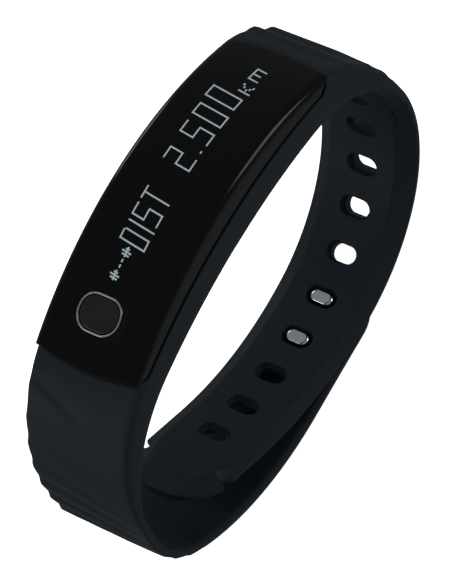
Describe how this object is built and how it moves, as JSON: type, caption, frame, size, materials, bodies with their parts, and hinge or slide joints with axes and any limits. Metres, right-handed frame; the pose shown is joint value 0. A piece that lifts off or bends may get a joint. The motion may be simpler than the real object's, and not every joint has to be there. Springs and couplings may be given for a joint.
{
  "type": "fitness tracker band",
  "caption": "Slim wrist activity tracker: a curved glossy display module with an oval button in a ridged rubber band, closed by a two-stud clasp in slots.",
  "frame": {"origin": "middle of the opening that the wrist fills, halfway across the band's width", "axes": "+X across the band along the wrist, +Y along the display away from the button, +Z out of the display"},
  "size_m": [0.0166, 0.0712, 0.0576],
  "materials": {
    "band_rubber": "matte moulded silicone, very dark blue black",
    "clasp_steel": "polished stainless steel",
    "gloss_black": "piano black, polished",
    "case_black": "fine spark texture",
    "seal_rubber": "soft moulded rubber",
    "screw_steel": "plain steel",
    "gold_plate": "gold plated",
    "display_glass": "dark display laminate",
    "ribbon_amber": "amber polyimide",
    "board_green": "solder mask",
    "chip_black": "moulded epoxy",
    "antenna_ceramic": "unglazed ceramic",
    "battery_foil": "crinkled pouch foil",
    "pad_grey": "foam",
    "motor_steel": "drawn can",
    "weight_metal": "sintered tungsten",
    "ring_chrome": "thin polished trim"
  },
  "bodies": {
    "band": {"band_cradle": "band_rubber"},
    "strap_tail": {"hole_strap_tail": "band_rubber"},
    "clasp_end": {"stud_strap_end": "band_rubber", "clasp_studs": "clasp_steel"},
    "module": {"top_cover": "gloss_black", "lower_case": "case_black", "case_gasket": "seal_rubber", "case_screws": "screw_steel", "charging_contacts": "gold_plate", "oled_panel": "display_glass", "oled_ribbon": "ribbon_amber", "main_board": "board_green", "processor_chip": "chip_black", "motion_sensor_chip": "chip_black", "radio_antenna": "antenna_ceramic", "small_board_parts": "chip_black", "battery": "battery_foil", "battery_pad": "pad_grey", "battery_foam": "pad_grey", "motor_can": "motor_steel", "motor_saddle": "seal_rubber", "button_ring": "ring_chrome", "dome_switch": "screw_steel", "button_board": "board_green"},
    "button": {"button_cap": "gloss_black"},
    "motor_rotor": {"motor_weight": "weight_metal"}
  },
  "joints": [
    {"name": "clasp_peel", "type": "hinge", "parent": "band", "child": "clasp_end", "pos_m": [0, -0.01665, -0.02318], "axis": [-1, 0, 0], "range_deg": [0, 38], "stiffness_Nm_per_rad": 0.004, "springref_deg": -11.46},
    {"name": "tail_flex", "type": "hinge", "parent": "band", "child": "strap_tail", "pos_m": [0, 0.00274, -0.02194], "axis": [-1, 0, 0], "range_deg": [0, 22], "stiffness_Nm_per_rad": 0.003, "springref_deg": -5.73},
    {"name": "module_lift", "type": "slide", "parent": "band", "child": "module", "axis": [0, 0, 1], "range_m": [0, 0.02]},
    {"name": "button_press", "type": "slide", "parent": "module", "child": "button", "axis": [0, 0.3385, -0.941], "range_m": [0, 0.0003], "stiffness_N_per_m": 500, "springref_m": -0.0003},
    {"name": "motor_spin", "type": "hinge", "parent": "module", "child": "motor_rotor", "pos_m": [0.0017, 0.0174, 0.02378], "axis": [1, 0, 0], "continuous": true}
  ]
}
